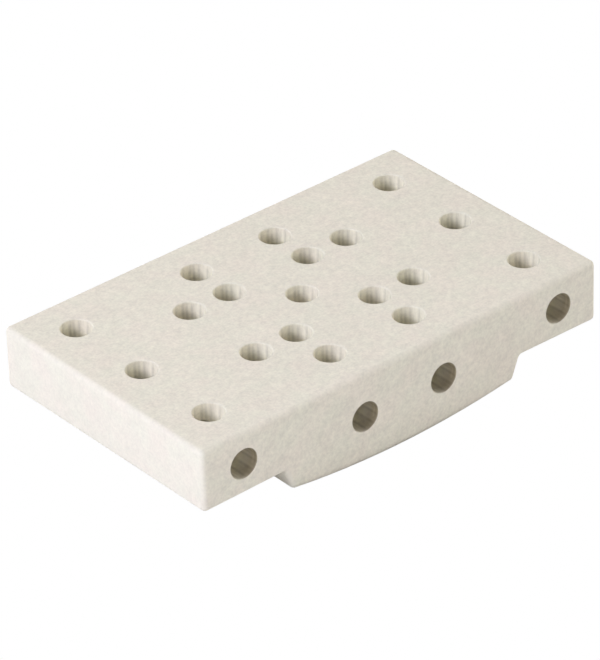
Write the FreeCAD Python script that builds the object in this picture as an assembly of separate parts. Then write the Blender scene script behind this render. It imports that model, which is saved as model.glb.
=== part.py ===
import FreeCAD, Part

import math
import os

# Mounting block: one solid plate with a rocker boss along its underside,
# drilled on a square grid from above and cross-drilled from front to back.
#
# Frame, in millimetres: X along the length, Y along the width, Z up.
# The origin is under the middle of the block, level with the lowest line of the rocker.

# ---- driving dimensions ----
PITCH = 10.0                    # hole grid
LENGTH = 10 * PITCH             # along X
WIDTH = 6 * PITCH               # along Y
HEIGHT = 20.25                  # lowest line of the rocker to the top face
END_THICKNESS = 13.65           # plate thickness at its two ends
ROOT_THICKNESS = 13.4           # plate thickness where the wings meet the boss
EDGE_RADIUS = 1.1               # rounding of every outer edge

BOSS_HALF_ROOT = 3 * PITCH      # half length of the boss where it leaves the plate
BOSS_HALF_FOOT = 28.1           # half length of the boss where its flanks meet the rocker
ROCKER_RADIUS = 196.0           # curve of the rocker face
ROOT_FILLET = 0.8               # inside corner between a wing and the boss

BORE_RADIUS = 3.2               # every hole, straight part
RIM_RADIUS = 0.25               # rounded mouth of every hole
OUTER_CROSS_DEPTH = 6.8         # top face to the axis of the outer cross-bores
INNER_CROSS_DEPTH = 9.75        # top face to the axis of the inner cross-bores

# Grid places of the holes, in pitches from the middle of the block.
END_COLUMN = [(4, -2), (4, 0), (4, 2)]
INNER_COLUMN = [(1, -2), (1, -1), (1, 1), (1, 2)]
SHOULDER_PAIR = [(2, -1), (2, 1)]
CENTRE = (0, 0)

OVERCUT = 1.0                   # how far a drill runs past a face
TOLERANCE = 0.001               # slack when comparing positions and radii


def rocker_height(x):
    """Height of the rocker face above its lowest line at a distance x from the middle."""
    return ROCKER_RADIUS - math.sqrt(ROCKER_RADIUS ** 2 - x ** 2)


def profile_face():
    """Cross-section of the undrilled block, in the plane of its front face."""
    front = -WIDTH / 2

    def point(x, z):
        return FreeCAD.Vector(x, front, z)

    half = LENGTH / 2
    foot_z = rocker_height(BOSS_HALF_FOOT)
    top_left = point(-half, HEIGHT)
    top_right = point(half, HEIGHT)
    tip_right = point(half, HEIGHT - END_THICKNESS)
    root_right = point(BOSS_HALF_ROOT, HEIGHT - ROOT_THICKNESS)
    foot_right = point(BOSS_HALF_FOOT, foot_z)
    lowest = point(0, 0)
    foot_left = point(-BOSS_HALF_FOOT, foot_z)
    root_left = point(-BOSS_HALF_ROOT, HEIGHT - ROOT_THICKNESS)
    tip_left = point(-half, HEIGHT - END_THICKNESS)

    edges = [
        Part.makeLine(top_left, top_right),
        Part.makeLine(top_right, tip_right),
        Part.makeLine(tip_right, root_right),
        Part.makeLine(root_right, foot_right),
        Part.Arc(foot_right, lowest, foot_left).toShape(),
        Part.makeLine(foot_left, root_left),
        Part.makeLine(root_left, tip_left),
        Part.makeLine(tip_left, top_left),
    ]
    return Part.Face(Part.Wire(edges))


def undrilled_block():
    """The plate and its rocker boss as one solid, with rounded edges."""
    solid = profile_face().extrude(FreeCAD.Vector(0, WIDTH, 0))
    roots = [edge for edge in solid.Edges if is_root_edge(edge)]
    solid = solid.makeFillet(ROOT_FILLET, roots)
    outer = [edge for edge in solid.Edges if is_outer_edge(edge)]
    return solid.makeFillet(EDGE_RADIUS, outer).Solids[0]


def distance_from_root(edge):
    """How far an edge along Y is from the nearer inside corner of wing and boss, seen from the front."""
    middle = edge.CenterOfMass
    root_z = HEIGHT - ROOT_THICKNESS
    return math.hypot(abs(middle.x) - BOSS_HALF_ROOT, middle.z - root_z)


def runs_along_width(edge):
    """True for the straight edges from the front face to the back face."""
    return abs(edge.CenterOfMass.y) < TOLERANCE


def is_root_edge(edge):
    """True for the two inside corners between the wings and the boss."""
    return runs_along_width(edge) and distance_from_root(edge) < TOLERANCE


def is_outer_edge(edge):
    """True for the edges to round: all but the smooth seams of the two root fillets."""
    is_seam = runs_along_width(edge) and distance_from_root(edge) < ROOT_FILLET
    return not is_seam


def grid_places():
    """Every hole of the top face, in pitches, mirrored to both halves of the block."""
    right_half = END_COLUMN + INNER_COLUMN + SHOULDER_PAIR
    left_half = [(-x, y) for x, y in right_half]
    return right_half + left_half + [CENTRE]


def vertical_drill(grid_x, grid_y):
    start = FreeCAD.Vector(grid_x * PITCH, grid_y * PITCH, -OVERCUT)
    return Part.makeCylinder(BORE_RADIUS, HEIGHT + 2 * OVERCUT, start, FreeCAD.Vector(0, 0, 1))


def cross_drill(grid_x, depth):
    start = FreeCAD.Vector(grid_x * PITCH, -WIDTH / 2 - OVERCUT, HEIGHT - depth)
    return Part.makeCylinder(BORE_RADIUS, WIDTH + 2 * OVERCUT, start, FreeCAD.Vector(0, 1, 0))


def vertical_drills():
    return [vertical_drill(grid_x, grid_y) for grid_x, grid_y in grid_places()]


def cross_drills():
    """The cross-bores run under the end columns and the inner columns of the grid."""
    drills = []
    for side in (-1, 1):
        drills.append(cross_drill(side * END_COLUMN[0][0], OUTER_CROSS_DEPTH))
        drills.append(cross_drill(side * INNER_COLUMN[0][0], INNER_CROSS_DEPTH))
    return drills


def is_bore_wall(face):
    surface = face.Surface
    return isinstance(surface, Part.Cylinder) and abs(surface.Radius - BORE_RADIUS) < TOLERANCE


def mouth_edges(block):
    """The rims of all holes: the edges where a bore wall meets an outer face."""
    rims = []
    for edge in block.Edges:
        faces = block.ancestorsOfType(edge, Part.Face)
        walls = [face for face in faces if is_bore_wall(face)]
        if len(faces) == 2 and len(walls) == 1:
            rims.append(edge)
    return rims


def mounting_block():
    block = undrilled_block()
    block = block.cut(vertical_drills())
    block = block.cut(cross_drills())
    return block.makeFillet(RIM_RADIUS, mouth_edges(block)).Solids[0]


os.makedirs("parts", exist_ok=True)
shape = mounting_block()
print("valid:", shape.isValid(), "solids:", len(shape.Solids), "volume:", round(shape.Volume, 1))
print("box:", shape.BoundBox)
shape.exportStep("parts/mounting_block.step")
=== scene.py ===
import math

import bpy
from mathutils import Matrix, Vector


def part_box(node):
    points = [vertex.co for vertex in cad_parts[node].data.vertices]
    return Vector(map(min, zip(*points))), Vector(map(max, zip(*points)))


# A one-piece mounting block on a plain pale floor. The block is the CAD node itself:
# its shape is right as it is, so this script gives it its finish, with some painted light and shade, the
# studio and the camera.

MM = 0.001

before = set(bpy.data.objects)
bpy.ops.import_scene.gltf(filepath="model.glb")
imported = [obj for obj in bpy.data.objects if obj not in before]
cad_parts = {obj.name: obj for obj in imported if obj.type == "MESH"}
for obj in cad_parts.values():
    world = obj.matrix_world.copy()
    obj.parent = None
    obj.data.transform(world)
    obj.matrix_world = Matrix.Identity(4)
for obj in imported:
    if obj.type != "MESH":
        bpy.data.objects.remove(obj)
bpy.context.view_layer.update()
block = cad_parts["mounting_block"]
block_low, block_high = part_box("mounting_block")

# ---- the block's own measures, for the finish ----
LENGTH = block_high.x - block_low.x
WIDTH = block_high.y - block_low.y
TOP_Z = block_high.z
PITCH = LENGTH / 10             # of the hole grid
BORE_RADIUS = 0.32 * PITCH
OUTER_CROSS_Z = TOP_Z - 6.8 * MM        # axes of the cross-bores
INNER_CROSS_Z = TOP_Z - 9.75 * MM
INNER_REACH = 2.5 * PITCH       # only the inner cross-bores lie nearer to the middle than this

# ---- camera, as turned about the point it looks at ----
CAMERA_AZIMUTH = -39.48         # degrees, 0 looks along +Y
CAMERA_ELEVATION = 32.43        # degrees above the horizon
CAMERA_ROLL = -1.79             # degrees
CAMERA_DISTANCE = 10.13 * LENGTH
CAMERA_AIM = Vector((0.011 * LENGTH, 0.023 * LENGTH, TOP_Z - 0.1 * LENGTH))
SENSOR = 36.0                   # mm, the image's long side
LENS = SENSOR * 7.85
NEAR_CLIP = 0.1                 # metres from the camera
FAR_CLIP = 20

# ---- studio: soft panels round the block ----
COOL = (0.94, 0.94, 1.12)
WARM = (1.02, 0.98, 0.98)
# name, azimuth and elevation in degrees, distance, width and height in metres, strength, colour
PANELS = (
    ("key", -99, 34, 1.1, 0.85, 0.25, 0.70, COOL),
    ("key_side", -60, 30, 1.1, 0.5, 0.5, 0.20, COOL),
    ("key_low", -60, 9, 1.1, 0.5, 0.25, 0.05, COOL),
    ("front", 0, 17, 2.0, 1.2, 0.9, 0.17, WARM),
    ("front_right", 45, 20, 2.0, 0.8, 0.8, 0.16, WARM),
    ("right", 90, 12, 2.0, 1.2, 0.6, 0.25, WARM),
    ("right_high", 90, 55, 2.0, 1.2, 0.8, 0.25, WARM),
    ("back", 180, 30, 2.0, 1.2, 1.2, 0.36, WARM),
)
SURROUND = 0.01                 # brightness all round
FLOOR_HALF_SIZE = 40 * LENGTH
BACKDROP_DROP = 0.1 * MM        # the white that the camera sees lies just under the floor
FLOOR_COLOUR = (0.85, 0.85, 0.85, 1)
SHADE_COLOUR = (0.03, 0.03, 0.03, 1)    # under the foot, where little light gets in
SHADE_REACH = 3 * MM
FOOT_HALF_LENGTH = 0.28 * LENGTH        # half length of the boss at its foot

# ---- finish of the sintered plastic, with painted light and shade on its edges and in its bores; colours are linear ----
PINKISH = (0.805, 0.757, 0.620, 1)
GREENISH = (0.789, 0.771, 0.620, 1)
TINT_SIZE = 6.0 * MM            # patches of slightly different tint
TINT_DETAIL = 3.0
TINT_SHIFT = (LENGTH, LENGTH, LENGTH)   # so that these patches don't follow those of the tone
TINT_RANGE = (0.25, 0.75)       # part of the noise that goes from one tint to the other
TONE_DETAIL = 0.0               # each of the patterns below has patches of one size only
TONE_PATTERNS = (               # patch size, how far it moves the tone
    (8.0 * MM, 0.035),
    (3.4 * MM, 0.035),
    (1.7 * MM, 0.10),
    (0.85 * MM, 0.14),
    (0.42 * MM, 0.16),
)
END_CALM = 0.35                 # how much fainter these tone patterns are on the two ends
GRAIN_SIZE = 0.42 * MM          # of the relief
GRAIN_DETAIL = 1.0
RELIEF = 0.03 * MM              # height of the grain
EDGE_PAINTED_HIGHLIGHT = 0.012               # painted highlight: rounded edges a little lighter; they are also rubbed smoother
EDGE_RAGGEDNESS = 0.2           # how far the grain breaks up the limit of the rubbing and of the painted highlight
EDGE_SQUARENESS = (0.75, 0.95)  # a surface square to an axis has 1; the rubbing and the painted highlight fade out over this range
ROUGHNESS = 0.82
ROUGHNESS_CHANGE = 0.15         # from grain to grain
WORN_ROUGHNESS = 0.62

# A point is on a bore's wall when it faces the axis and is a bore's radius away from it.
WALL_FACING = (0.6, 0.95)       # cosine between its normal and the way to the axis
WALL_GAPS = (0.2 * MM, 0.3 * MM)        # how far off that radius the wall fades out

# Painted light and shade as of faint fluting along the bores' axes, which the shape itself doesn't have.
FLUTES = 11
UPRIGHT_FLUTE = 20.2            # degrees from +X to one light flute, seen along the bore
CROSSWISE_FLUTE = 26.0
FLUTE_SLOPE_PAINTED_SHADE = 0.10         # painted shade on one side of a flute
FLUTE_CREST_PAINTED_LIGHT = 0.06         # painted light on its crest and painted shade in the hollow beside it
FLUTE_LEAN = 61.0               # degrees of a flute's period from its crest to its light side
FLUTE_DEPTHS = (-1.0 * MM, 2.0 * MM)    # they grow stronger from the mouth of a bore inwards

# Two bands of painted light and shade run along each wall, given by their degrees from +X, sharpness and
# tone.
PAINTED_SHADE_BAND = (60.0, 60, -0.24)   # a narrow one, of painted shade
PAINTED_SHADE_DEPTHS = (0.0, 3.6 * MM)   # over which it comes in
PAINTED_LIGHT_BAND = (0.0, 4, 0.05)     # and a broad one, of painted light

WALL_PAINTED_LIGHT = 0.02                # painted light over the whole wall
STREAK_SIZE = 0.5 * MM
STREAK_DETAIL = 2.0
STREAK_STRETCH = 8              # how much longer than wide a streak is
STREAK_TONE = 0.32

# Painted shade on the walls of the cross-bores: darker and browner near their mouths, and less so along
# one side.
CROSS_BORE_PAINTED_SHADE = (0.35, 0.30, 0.19, 1)
CROSS_BORE_SHADE_DEPTHS = (1.0 * MM, 5.6 * MM)     # over which it fades out
LESS_SHADED_BAND = (-120.0, 6, 0.8)   # degrees from +X, sharpness, how much of the painted shade is gone there


class NodeKit:
    """A new material, with short ways to add nodes to it and link them."""

    def __init__(self, name):
        self.material = bpy.data.materials.new(name)
        self.material.use_nodes = True
        self.tree = self.material.node_tree
        self.tree.nodes.clear()

    def add(self, kind, **settings):
        node = self.tree.nodes.new(kind)
        for key, value in settings.items():
            setattr(node, key, value)
        return node

    def feed(self, value, socket):
        if isinstance(value, bpy.types.NodeSocket):
            self.tree.links.new(value, socket)
        else:
            socket.default_value = value

    def calc(self, operation, *values):
        node = self.add("ShaderNodeMath", operation=operation)
        for value, socket in zip(values, node.inputs):
            self.feed(value, socket)
        return node.outputs[0]

    def join(self, x, y, z):
        node = self.add("ShaderNodeCombineXYZ")
        for value, socket in zip((x, y, z), node.inputs):
            self.feed(value, socket)
        return node.outputs[0]

    def split(self, vector):
        node = self.add("ShaderNodeSeparateXYZ")
        self.feed(vector, node.inputs[0])
        return node.outputs

    def ramp(self, value, start, end):
        """Rises smoothly from 0 at start to 1 at end."""
        node = self.add("ShaderNodeMapRange", interpolation_type="SMOOTHSTEP")
        for setting, socket in zip((value, start, end, 0.0, 1.0), node.inputs):
            self.feed(setting, socket)
        return node.outputs[0]

    def noise(self, place, size, detail):
        """A random tone about 0.5, in patches of about the given size."""
        node = self.add("ShaderNodeTexNoise")
        self.feed(place, node.inputs["Vector"])
        self.feed(1 / size, node.inputs["Scale"])
        self.feed(detail, node.inputs["Detail"])
        return node.outputs["Fac"]

    def length(self, vector):
        node = self.add("ShaderNodeVectorMath", operation="LENGTH")
        self.feed(vector, node.inputs[0])
        return node.outputs["Value"]

    def mix(self, factor, start, end):
        """A colour that goes from start to end as the factor goes from 0 to 1."""
        node = self.add("ShaderNodeMix", data_type="RGBA")
        inputs = {socket.identifier: socket for socket in node.inputs}
        outputs = {socket.identifier: socket for socket in node.outputs}
        self.feed(factor, inputs["Factor_Float"])
        self.feed(start, inputs["A_Color"])
        self.feed(end, inputs["B_Color"])
        return outputs["Result_Color"]

    def vary(self, tone, pattern, amount):
        """Adds to a tone a pattern that is centred on 0.5."""
        return self.calc("MULTIPLY_ADD", self.calc("SUBTRACT", pattern, 0.5), amount, tone)


def direction(azimuth, elevation):
    """Unit vector from the block towards a viewpoint or lamp; azimuth 0 is the front, -90 the left end."""
    turn = math.radians(azimuth)
    rise = math.radians(elevation)
    return Vector((
        math.sin(turn) * math.cos(rise),
        -math.cos(turn) * math.cos(rise),
        math.sin(rise),
    ))


def make_camera():
    back = direction(CAMERA_AZIMUTH, CAMERA_ELEVATION)
    data = bpy.data.cameras.new("camera")
    data.sensor_width = SENSOR
    data.lens = LENS
    data.clip_start = NEAR_CLIP
    data.clip_end = FAR_CLIP
    camera = bpy.data.objects.new("camera", data)
    bpy.context.scene.collection.objects.link(camera)
    turn = (-back).to_track_quat("-Z", "Y").to_matrix().to_4x4()
    roll = Matrix.Rotation(math.radians(CAMERA_ROLL), 4, "Z")
    camera.matrix_world = Matrix.Translation(CAMERA_AIM + back * CAMERA_DISTANCE) @ turn @ roll
    bpy.context.scene.camera = camera


def wall_of_bore(kit, across, up, normal_across, normal_up):
    """1 on the wall of a bore, 0 off it.

    The place and the normal are given by their parts square to the bore's axis. The place is measured
    from that axis.
    """
    offset = kit.join(across, up, 0.0)
    radius = kit.length(offset)
    outward = kit.add("ShaderNodeVectorMath", operation="DOT_PRODUCT")
    kit.feed(offset, outward.inputs[0])
    kit.feed(kit.join(normal_across, normal_up, 0.0), outward.inputs[1])
    inward = kit.calc("MULTIPLY", kit.calc("DIVIDE", outward.outputs["Value"], radius), -1.0)
    facing_axis = kit.ramp(inward, *WALL_FACING)
    gap = kit.calc("ABSOLUTE", kit.calc("SUBTRACT", radius, BORE_RADIUS))
    at_radius = kit.calc("SUBTRACT", 1.0, kit.ramp(gap, *WALL_GAPS))
    return kit.calc("MULTIPLY", facing_axis, at_radius)


def band(kit, turn, side, sharpness, tone):
    """The tone along one side of a bore, falling to 0 away from it; the sharper, the narrower."""
    towards_side = kit.calc("COSINE", kit.calc("SUBTRACT", turn, math.radians(side)))
    return kit.calc("MULTIPLY", kit.calc("POWER", kit.calc("MAXIMUM", towards_side, 0.0), sharpness), tone)


def wall_streaks_and_painted_light(kit, across, up, along, depth, crest, mask):
    """Tone of a bore's wall, 1 where the mask is 0: painted light and shade of evenly spaced fluting, two
    bands of painted light and shade, and finer random streaks.
    """
    turn = kit.calc("ARCTAN2", up, across)
    # painted light and shade of fluting that the shape doesn't have
    phase = kit.calc("MULTIPLY_ADD", turn, -FLUTES, FLUTES * math.radians(crest))
    slope = kit.calc("COSINE", kit.calc("ADD", phase, math.radians(FLUTE_LEAN)))
    crest_and_hollow = kit.calc("COSINE", kit.calc("MULTIPLY", phase, 2.0))
    painted_flute_light = kit.calc("MULTIPLY", slope, FLUTE_SLOPE_PAINTED_SHADE)
    painted_flute_light = kit.calc("MULTIPLY_ADD", crest_and_hollow, FLUTE_CREST_PAINTED_LIGHT, painted_flute_light)
    painted_flute_light = kit.calc("MULTIPLY", painted_flute_light, kit.ramp(depth, *FLUTE_DEPTHS))
    # a narrow band of painted shade, coming in deeper down, and a broad band of painted light
    painted_shade = kit.calc("MULTIPLY", band(kit, turn, *PAINTED_SHADE_BAND), kit.ramp(depth, *PAINTED_SHADE_DEPTHS))
    painted_light = band(kit, turn, *PAINTED_LIGHT_BAND)

    stretched = kit.join(across, up, kit.calc("DIVIDE", along, STREAK_STRETCH))
    # random streaks about the painted light of the whole wall
    change = kit.vary(WALL_PAINTED_LIGHT, kit.noise(stretched, STREAK_SIZE, STREAK_DETAIL), STREAK_TONE)
    for part in (painted_flute_light, painted_shade, painted_light):
        change = kit.calc("ADD", change, part)
    return kit.calc("MULTIPLY_ADD", change, mask, 1.0)


def bore_painted_light_and_shade(kit, position, normal):
    """Tone of the walls of all bores, with their painted light and shade, and the painted shade of the
    cross-bores; these are 1 and 0 elsewhere.
    """
    x, y, z = kit.split(position)
    normal_x, normal_y, normal_z = kit.split(normal)
    from_axis_x = kit.calc("WRAP", x, PITCH / 2, -PITCH / 2)
    from_axis_y = kit.calc("WRAP", y, PITCH / 2, -PITCH / 2)
    upright = wall_of_bore(kit, from_axis_x, from_axis_y, normal_x, normal_y)
    below_top = kit.calc("SUBTRACT", TOP_Z, z)
    upright_tone = wall_streaks_and_painted_light(kit, from_axis_x, from_axis_y, z, below_top, UPRIGHT_FLUTE, upright)

    is_outer = kit.calc("GREATER_THAN", kit.calc("ABSOLUTE", x), INNER_REACH)
    axis_z = kit.calc("MULTIPLY_ADD", is_outer, OUTER_CROSS_Z - INNER_CROSS_Z, INNER_CROSS_Z)
    from_axis_z = kit.calc("SUBTRACT", z, axis_z)
    crosswise = wall_of_bore(kit, from_axis_x, from_axis_z, normal_x, normal_z)
    behind_face = kit.calc("SUBTRACT", WIDTH / 2, kit.calc("ABSOLUTE", y))
    crosswise_tone = wall_streaks_and_painted_light(kit, from_axis_x, from_axis_z, y, behind_face, CROSSWISE_FLUTE, crosswise)
    # painted shade near the mouths of the cross-bores, less of it along one side
    near_mouth = kit.calc("SUBTRACT", 1.0, kit.ramp(behind_face, *CROSS_BORE_SHADE_DEPTHS))
    turn = kit.calc("ARCTAN2", from_axis_z, from_axis_x)
    off_less_shaded_side = kit.calc("SUBTRACT", 1.0, band(kit, turn, *LESS_SHADED_BAND))
    cross_bore_shade = kit.calc("MULTIPLY", crosswise, kit.calc("MULTIPLY", near_mouth, off_less_shaded_side))
    return kit.calc("MULTIPLY", upright_tone, crosswise_tone), cross_bore_shade


def edge_wear_and_highlight(kit, normal, grain):
    """0 on a face square to an axis, and up to 1 on a surface turned well between the axes.

    So it marks the rounded edges, and parts of the bores' walls too, for their rubbing and their painted
    highlight. The grain makes its limit ragged.
    """
    sides = [kit.calc("ABSOLUTE", part) for part in kit.split(normal)]
    squareness = kit.calc("MAXIMUM", kit.calc("MAXIMUM", sides[0], sides[1]), sides[2])
    ragged = kit.vary(squareness, grain, EDGE_RAGGEDNESS)
    return kit.calc("SUBTRACT", 1.0, kit.ramp(ragged, *EDGE_SQUARENESS))


def body_material():
    """Off-white sintered plastic: a fine dry grain, faint blotches, slightly polished edges with a faint
    painted highlight, and painted light and shade in the bores.
    """
    kit = NodeKit("sintered_body")
    coordinates = kit.add("ShaderNodeTexCoord")
    position = coordinates.outputs["Object"]
    normal = coordinates.outputs["Normal"]
    grain = kit.noise(position, GRAIN_SIZE, GRAIN_DETAIL)
    wear_and_highlight = edge_wear_and_highlight(kit, normal, grain)

    mottle = 0.0
    for size, amount in TONE_PATTERNS:
        mottle = kit.vary(mottle, kit.noise(position, size, TONE_DETAIL), amount)
    facing_end = kit.calc("ABSOLUTE", kit.split(normal)[0])
    strength = kit.calc("MULTIPLY_ADD", facing_end, -END_CALM, 1.0)
    tone = kit.calc("MULTIPLY_ADD", mottle, strength, 1.0)
    # painted highlight: the rounded edges a little lighter
    tone = kit.calc("MULTIPLY_ADD", wear_and_highlight, EDGE_PAINTED_HIGHLIGHT, tone)
    bore_streaks_and_painted_light, cross_bore_shade = bore_painted_light_and_shade(kit, position, normal)
    # painted light and shade, with random streaks, on the bores' walls
    tone = kit.calc("MULTIPLY", tone, bore_streaks_and_painted_light)

    tint_place = kit.add("ShaderNodeVectorMath", operation="ADD")
    kit.feed(position, tint_place.inputs[0])
    kit.feed(TINT_SHIFT, tint_place.inputs[1])
    pinkness = kit.ramp(kit.noise(tint_place.outputs[0], TINT_SIZE, TINT_DETAIL), *TINT_RANGE)
    tint = kit.mix(pinkness, GREENISH, PINKISH)
    colour = kit.add("ShaderNodeVectorMath", operation="SCALE")
    # painted shade mixed into the colour of the cross-bores
    kit.feed(kit.mix(cross_bore_shade, tint, CROSS_BORE_PAINTED_SHADE), colour.inputs[0])
    kit.feed(tone, colour.inputs["Scale"])

    bump = kit.add("ShaderNodeBump")
    kit.feed(RELIEF, bump.inputs["Distance"])
    kit.feed(grain, bump.inputs["Height"])

    roughness = kit.vary(ROUGHNESS, grain, ROUGHNESS_CHANGE)
    roughness = kit.calc("MULTIPLY_ADD", wear_and_highlight, WORN_ROUGHNESS - ROUGHNESS, roughness)

    shader = kit.add("ShaderNodeBsdfPrincipled")
    kit.feed(colour.outputs[0], shader.inputs["Base Color"])
    kit.feed(roughness, shader.inputs["Roughness"])
    kit.feed(bump.outputs[0], shader.inputs["Normal"])
    out = kit.add("ShaderNodeOutputMaterial")
    kit.feed(shader.outputs[0], out.inputs["Surface"])
    return kit.material


def floor_plane(name, z, material):
    half = FLOOR_HALF_SIZE
    mesh = bpy.data.meshes.new(name)
    corners = [(-half, -half, z), (half, -half, z), (half, half, z), (-half, half, z)]
    mesh.from_pydata(corners, [], [(0, 1, 2, 3)])
    mesh.materials.append(material)
    plane = bpy.data.objects.new(name, mesh)
    bpy.context.scene.collection.objects.link(plane)
    return plane


def floor_material():
    """Pale, and darker close round the block's foot."""
    kit = NodeKit("floor")
    x, y, _ = kit.split(kit.add("ShaderNodeTexCoord").outputs["Object"])
    past_end = kit.calc("MAXIMUM", kit.calc("SUBTRACT", kit.calc("ABSOLUTE", x), FOOT_HALF_LENGTH), 0.0)
    past_side = kit.calc("MAXIMUM", kit.calc("SUBTRACT", kit.calc("ABSOLUTE", y), WIDTH / 2), 0.0)
    gap = kit.length(kit.join(past_end, past_side, 0.0))
    colour = kit.mix(kit.ramp(gap, 0.0, SHADE_REACH), SHADE_COLOUR, FLOOR_COLOUR)
    shader = kit.add("ShaderNodeBsdfDiffuse")
    kit.feed(colour, shader.inputs["Color"])
    kit.feed(shader.outputs[0], kit.add("ShaderNodeOutputMaterial").inputs["Surface"])
    return kit.material


def backdrop_material():
    """Pure white, whatever the light."""
    kit = NodeKit("backdrop")
    shader = kit.add("ShaderNodeEmission")
    kit.feed(shader.outputs[0], kit.add("ShaderNodeOutputMaterial").inputs["Surface"])
    return kit.material


def make_floor():
    """The floor that sends light back up, and the pure white that the camera sees in its place."""
    floor = floor_plane("floor", 0, floor_material())
    floor.visible_camera = False
    backdrop = floor_plane("backdrop", -BACKDROP_DROP, backdrop_material())
    backdrop.visible_diffuse = False
    backdrop.visible_glossy = False
    backdrop.visible_transmission = False
    backdrop.visible_shadow = False


def make_softbox(name, azimuth, elevation, distance, wide, tall, strength, colour):
    """A rectangular lamp that faces the block; strength 1 lights a white card to full white."""
    lamp = bpy.data.lights.new(name, "AREA")
    lamp.shape = "RECTANGLE"
    lamp.size = wide
    lamp.size_y = tall
    lamp.color = colour
    lamp.energy = strength * math.pi ** 2 * distance ** 2
    softbox = bpy.data.objects.new(name, lamp)
    bpy.context.scene.collection.objects.link(softbox)
    place = direction(azimuth, elevation) * distance
    softbox.matrix_world = Matrix.Translation(place) @ place.to_track_quat("Z", "Y").to_matrix().to_4x4()


def make_lights():
    world = bpy.data.worlds.new("studio")
    world.use_nodes = True
    background = world.node_tree.nodes["Background"]
    background.inputs["Color"].default_value = (1, 1, 1, 1)
    background.inputs["Strength"].default_value = SURROUND
    bpy.context.scene.world = world
    for panel in PANELS:
        make_softbox(*panel)


def main():
    bpy.context.scene.view_settings.view_transform = "Standard"
    make_camera()
    make_lights()
    make_floor()
    block.data.materials.clear()
    block.data.materials.append(body_material())


main()
